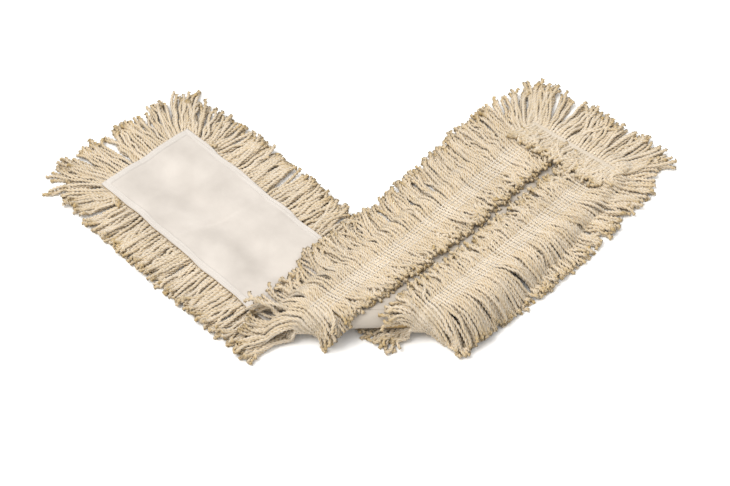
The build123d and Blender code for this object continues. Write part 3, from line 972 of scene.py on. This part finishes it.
# left arm first, then its cloth, then the fold, the right arm's cloth and its yarn
for side in (-1, 1):
    arm_yarn(side, "left", lambda turn: turn < 0, 100)
end_strip_yarn("left", 60, 130, 230)
fold_yarn("under", 0.0, FOLD_FRONT, 300)
pile.press(13.0)
pile.cover("left", CLOTH_T + HEM_T)
fold_yarn("front", FOLD_FRONT, FOLD_OVER, 310)
pile.cover("right", CLOTH_T)
fold_yarn("over", FOLD_OVER, math.pi, 320)
near_fold = math.pi + 28 / R
for side in (-1, 1):
    a, paths = laid(side, lambda turn: (turn >= math.pi) & (turn < near_fold), 330 + side)
    name = "yarn_band_%s_right_near_fold" % LABEL[side]
    chunked(name, a, paths, 330, 1, band_nodes(side, "right"), hanging)
    arm_yarn(side, "right", lambda turn: turn >= near_fold, 140)
end_strip_yarn("right", 61, 150, 250)

# tape over the right end strip and the bands' sewing rows
TAPE_HALF = 3.4
v = np.linspace(-72, 72, 200)
across = np.linspace(-TAPE_HALF, TAPE_HALF, 9)[:, None]
a = RIGHT + END_SEAM + across + 0 * v
v = np.broadcast_to(v[None], a.shape)
round_off = (across / TAPE_HALF) ** 2
under = CLOTH_T + 6.9 + 0.35 * np.sin(v / 0.9 + across) * (1 - round_off)
o = slab("sewn_tape_right", a, v, -under, -(under + 0.9 * np.sqrt(1.02 - round_off)), TAPE)
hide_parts("end_strip_tape_right")
attach(o, "right")
for side in (-1, 1):
    for part in ("left", "right"):
        runs = []
        for row in SEW_ROWS:
            v = side * row
            if part == "left":
                runs.append(((float(at_fold(v)), v), (LEFT - 20, v)))
            else:
                runs.append(((float(at_fold(v, math.pi)), v), (RIGHT + 58, v)))
        name = "band_%s_stitches_%s" % (LABEL[side], part)
        o = line_stitches(name, runs, -(CLOTH_T + 6.5), 4.0, 3.5, 1.2)
        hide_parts("band_%s_sewing_rows_%s" % (LABEL[side], part))
        attach(o, part)

# ---- the cloth's grids once more; nothing is made from them ---------------------------------
for part, held in (("left", "laid"), ("fold", "folded"), ("right", "laid")):
    a, v = grid(part, -HALF, HALF)
    for label, v0, v1 in SIDE_HEMS:
        a, v = grid(part, v0, v1)

# ---- stage, light and camera ------------------------------------------------------------------
bpy.ops.mesh.primitive_plane_add(size=14, location=(0, 0, -0.0005))
floor = bpy.context.object
floor.name = "floor"
m, tree, shader = new_material("floor_white", 0.95)
shader.inputs["Base Color"].default_value = (0.95, 0.95, 0.95, 1)
shader.inputs["Specular IOR Level"].default_value = 0.0
floor.data.materials.append(m)

world = bpy.data.worlds.new("studio")
bpy.context.scene.world = world
world.use_nodes = True
tree = world.node_tree
where = tree.nodes.new("ShaderNodeTexCoord")
axes = tree.nodes.new("ShaderNodeSeparateXYZ")
tree.links.new(where.outputs["Generated"], axes.inputs[0])
glow = maths(tree, "MULTIPLY_ADD", axes.outputs[2], 1.0, 0.35)
glow = maths(tree, "ADD", glow, maths(tree, "MULTIPLY", axes.outputs[1], 0.05))
glow = maths(tree, "MAXIMUM", glow, 0.15)
tree.nodes["Background"].inputs[0].default_value = (1.0, 0.995, 0.985, 1)
tree.links.new(glow, tree.nodes["Background"].inputs[1])


def sun(name, direction, strength, angle, colour):
    light = bpy.data.lights.new(name, "SUN")
    light.energy = strength
    light.angle = math.radians(angle)
    light.color = colour
    o = bpy.data.objects.new(name, light)
    o.rotation_euler = Vector(direction).to_track_quat("Z", "Y").to_euler()
    bpy.context.scene.collection.objects.link(o)


sun("key", (-0.5, -0.2, 1.05), 1.95, 32, (1.0, 0.99, 0.97))

scene = bpy.context.scene
scene.view_settings.view_transform = "Standard"
scene.view_settings.look = "None"
scene.view_settings.exposure = 0.0
scene.view_settings.gamma = 1.0

# how far the camera looks down, how far it looks to the right, and its distance
ELEVATION, AZIMUTH, DISTANCE = math.radians(48.22), math.radians(1.27), 3760.7
target = np.array([25.5, 144.35, 15.0]) + SHIFT
forward = np.array([
    math.sin(AZIMUTH) * math.cos(ELEVATION),
    math.cos(AZIMUTH) * math.cos(ELEVATION),
    -math.sin(ELEVATION),
])
camera = bpy.data.objects.new("camera", bpy.data.cameras.new("camera"))
camera.data.lens = 135
camera.data.sensor_width = 36
camera.data.clip_end = 50
camera.location = (target - forward * DISTANCE) * 0.001
camera.rotation_euler = Vector(forward).to_track_quat("-Z", "Y").to_euler()
scene.collection.objects.link(camera)
scene.camera = camera
